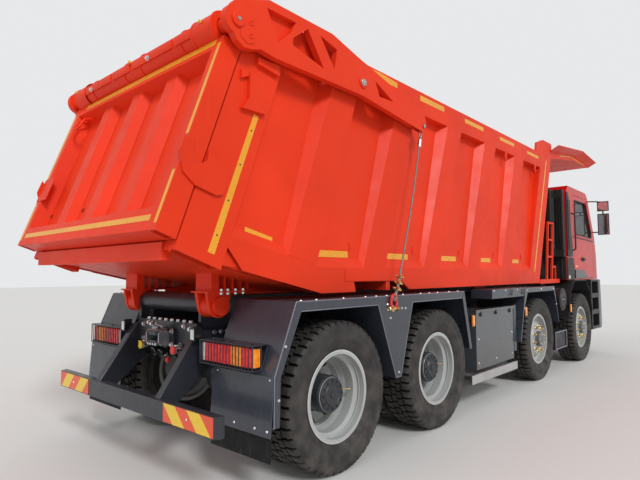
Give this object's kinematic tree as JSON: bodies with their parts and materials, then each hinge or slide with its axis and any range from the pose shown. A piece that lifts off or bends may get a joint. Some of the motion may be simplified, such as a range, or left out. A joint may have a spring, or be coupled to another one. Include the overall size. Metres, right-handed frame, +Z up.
{
  "type": "dump truck",
  "caption": "Heavy tipping truck with twin steered front axles, a driven tandem, a ribbed rock bed, a canopy over the cab and a tailgate lifted by arms and ropes.",
  "frame": {"origin": "on the ground, under the middle of the truck's overall box", "axes": "+X forward, +Y to the driver's left, +Z up"},
  "size_m": [8.767, 2.84, 3.4718],
  "materials": {
    "bed_paint": "satin",
    "cab_paint": "gloss",
    "chassis_paint": "satin",
    "guard_plastic": "satin",
    "tank_paint": "satin",
    "rim_silver": "satin",
    "tyre_rubber": "matt",
    "flap_rubber": "matt",
    "cab_window": "polished",
    "trim_black": "matt",
    "seat_fabric": "woven",
    "bar_aluminium": "satin",
    "rope_steel": "satin",
    "hoist_paint": "satin",
    "hoist_chrome": "polished"
  },
  "bodies": {
    "chassis": {"frame_rails": "chassis_paint", "crossmembers": "chassis_paint", "overframe": "chassis_paint", "underrun_guard": "chassis_paint", "tail_lamps": "chassis_paint", "rear_mudguards": "guard_plastic", "mud_flaps": "flap_rubber", "second_axle_guards": "guard_plastic", "fuel_tank": "tank_paint", "battery_box": "trim_black", "side_bars": "bar_aluminium", "powertrain": "hoist_paint", "front_axles": "chassis_paint", "rear_axles": "chassis_paint", "cab_shell": "cab_paint", "cab_glass": "cab_window", "seats": "seat_fabric", "dashboard": "trim_black", "bumper": "guard_plastic", "cab_steps": "trim_black", "mirrors": "trim_black", "air_intake": "trim_black"},
    "bed": {"bed_floor": "bed_paint", "bed_side_left": "bed_paint", "bed_side_right": "bed_paint", "bed_front_wall": "bed_paint", "bed_canopy": "bed_paint", "bed_ladder": "bed_paint"},
    "gate_arms": {"gate_arms": "bed_paint"},
    "tailgate": {"tailgate": "bed_paint"},
    "gate_ropes": {"gate_ropes": "rope_steel"},
    "hoist_tube": {"hoist_tube": "hoist_paint"},
    "hoist_stage_1": {"hoist_stage_1": "hoist_chrome"},
    "hoist_stage_2": {"hoist_stage_2": "hoist_chrome"},
    "hoist_stage_3": {"hoist_stage_3": "hoist_chrome"},
    "hoist_stage_4": {"hoist_stage_4": "hoist_chrome"},
    "door_left": {"door_left": "cab_paint", "door_glass_left": "cab_window"},
    "knuckle_front_left": {"knuckle_front_left": "chassis_paint"},
    "wheel_front_left": {"rim_front_left": "rim_silver", "tyre_front_left": "tyre_rubber"},
    "knuckle_second_left": {"knuckle_second_left": "chassis_paint"},
    "wheel_second_left": {"rim_second_left": "rim_silver", "tyre_second_left": "tyre_rubber"},
    "wheels_third_left": {"rims_third_left": "rim_silver", "tyres_third_left": "tyre_rubber"},
    "wheels_rear_left": {"rims_rear_left": "rim_silver", "tyres_rear_left": "tyre_rubber"},
    "door_right": {"door_right": "cab_paint", "door_glass_right": "cab_window"},
    "knuckle_front_right": {"knuckle_front_right": "chassis_paint"},
    "wheel_front_right": {"rim_front_right": "rim_silver", "tyre_front_right": "tyre_rubber"},
    "knuckle_second_right": {"knuckle_second_right": "chassis_paint"},
    "wheel_second_right": {"rim_second_right": "rim_silver", "tyre_second_right": "tyre_rubber"},
    "wheels_third_right": {"rims_third_right": "rim_silver", "tyres_third_right": "tyre_rubber"},
    "wheels_rear_right": {"rims_rear_right": "rim_silver", "tyres_rear_right": "tyre_rubber"}
  },
  "joints": [
    {"name": "bed_tip", "type": "hinge", "parent": "chassis", "child": "bed", "pos_m": [-3.585, 0, 1.168], "axis": [0, -1, 0], "range_deg": [0, 48]},
    {"name": "gate_arm_turn", "type": "hinge", "parent": "bed", "child": "gate_arms", "pos_m": [-2.61, 0, 2.92], "axis": [0, 1, 0], "range_deg": [0, 71.57]},
    {"name": "tailgate_swing", "type": "hinge", "parent": "gate_arms", "child": "tailgate", "pos_m": [-3.88, 0, 2.96], "axis": [0, -1, 0], "range_deg": [0, 45.37]},
    {"name": "rope_turn", "type": "hinge", "parent": "chassis", "child": "gate_ropes", "pos_m": [-2.369, 0, 1.165], "axis": [0, -1, 0], "range_deg": [0, 61.28]},
    {"name": "hoist_turn", "type": "hinge", "parent": "chassis", "child": "hoist_tube", "pos_m": [1.95, 0, 0.85], "axis": [0, -1, 0], "range_deg": [0, 35.96]},
    {"name": "hoist_slide_1", "type": "slide", "parent": "hoist_tube", "child": "hoist_stage_1", "axis": [0.1728, 0, 0.985], "range_m": [0, 1.1232]},
    {"name": "hoist_slide_2", "type": "slide", "parent": "hoist_stage_1", "child": "hoist_stage_2", "axis": [0.1728, 0, 0.985], "range_m": [0, 1.1232]},
    {"name": "hoist_slide_3", "type": "slide", "parent": "hoist_stage_2", "child": "hoist_stage_3", "axis": [0.1728, 0, 0.985], "range_m": [0, 1.1232]},
    {"name": "hoist_slide_4", "type": "slide", "parent": "hoist_stage_3", "child": "hoist_stage_4", "axis": [0.1728, 0, 0.985], "range_m": [0, 1.1232]},
    {"name": "steer_front_left", "type": "hinge", "parent": "chassis", "child": "knuckle_front_left", "pos_m": [3.08, 0.85, 0.53], "axis": [0, 0, 1], "range_deg": [-35, 35]},
    {"name": "roll_front_left", "type": "hinge", "parent": "knuckle_front_left", "child": "wheel_front_left", "pos_m": [3.08, 1.075, 0.53], "axis": [0, 1, 0], "continuous": true},
    {"name": "steer_front_right", "type": "hinge", "parent": "chassis", "child": "knuckle_front_right", "pos_m": [3.08, -0.85, 0.53], "axis": [0, 0, 1], "range_deg": [-35, 35]},
    {"name": "roll_front_right", "type": "hinge", "parent": "knuckle_front_right", "child": "wheel_front_right", "pos_m": [3.08, -1.075, 0.53], "axis": [0, 1, 0], "continuous": true},
    {"name": "steer_second_left", "type": "hinge", "parent": "chassis", "child": "knuckle_second_left", "pos_m": [1.13, 0.85, 0.53], "axis": [0, 0, 1], "range_deg": [-22.6, 22.6]},
    {"name": "roll_second_left", "type": "hinge", "parent": "knuckle_second_left", "child": "wheel_second_left", "pos_m": [1.13, 1.075, 0.53], "axis": [0, 1, 0], "continuous": true},
    {"name": "steer_second_right", "type": "hinge", "parent": "chassis", "child": "knuckle_second_right", "pos_m": [1.13, -0.85, 0.53], "axis": [0, 0, 1], "range_deg": [-22.6, 22.6]},
    {"name": "roll_second_right", "type": "hinge", "parent": "knuckle_second_right", "child": "wheel_second_right", "pos_m": [1.13, -1.075, 0.53], "axis": [0, 1, 0], "continuous": true},
    {"name": "roll_third_left", "type": "hinge", "parent": "chassis", "child": "wheels_third_left", "pos_m": [-1.6, 0.92, 0.53], "axis": [0, 1, 0], "continuous": true},
    {"name": "roll_third_right", "type": "hinge", "parent": "chassis", "child": "wheels_third_right", "pos_m": [-1.6, -0.92, 0.53], "axis": [0, 1, 0], "continuous": true},
    {"name": "roll_rear_left", "type": "hinge", "parent": "chassis", "child": "wheels_rear_left", "pos_m": [-3, 0.92, 0.53], "axis": [0, 1, 0], "continuous": true},
    {"name": "roll_rear_right", "type": "hinge", "parent": "chassis", "child": "wheels_rear_right", "pos_m": [-3, -0.92, 0.53], "axis": [0, 1, 0], "continuous": true},
    {"name": "door_left_swing", "type": "hinge", "parent": "chassis", "child": "door_left", "pos_m": [4.144, 1.15, 1.9], "axis": [0, 0, -1], "range_deg": [0, 68]},
    {"name": "door_right_swing", "type": "hinge", "parent": "chassis", "child": "door_right", "pos_m": [4.144, -1.15, 1.9], "axis": [0, 0, 1], "range_deg": [0, 68]}
  ],
  "couplings": [
    {"joint": "gate_arm_turn", "follows": "bed_tip", "ratio": 1.4806},
    {"joint": "tailgate_swing", "follows": "bed_tip", "ratio": 0.93473},
    {"joint": "rope_turn", "follows": "bed_tip", "ratio": 1.2662},
    {"joint": "hoist_turn", "follows": "bed_tip", "ratio": 0.7387},
    {"joint": "hoist_slide_1", "follows": "bed_tip", "m_per_rad": 1.3288},
    {"joint": "hoist_slide_2", "follows": "bed_tip", "m_per_rad": 1.3288},
    {"joint": "hoist_slide_3", "follows": "bed_tip", "m_per_rad": 1.3288},
    {"joint": "hoist_slide_4", "follows": "bed_tip", "m_per_rad": 1.3288},
    {"joint": "steer_front_right", "follows": "steer_front_left", "ratio": 1},
    {"joint": "steer_second_left", "follows": "steer_front_left", "ratio": 0.64},
    {"joint": "steer_second_right", "follows": "steer_front_left", "ratio": 0.64}
  ]
}
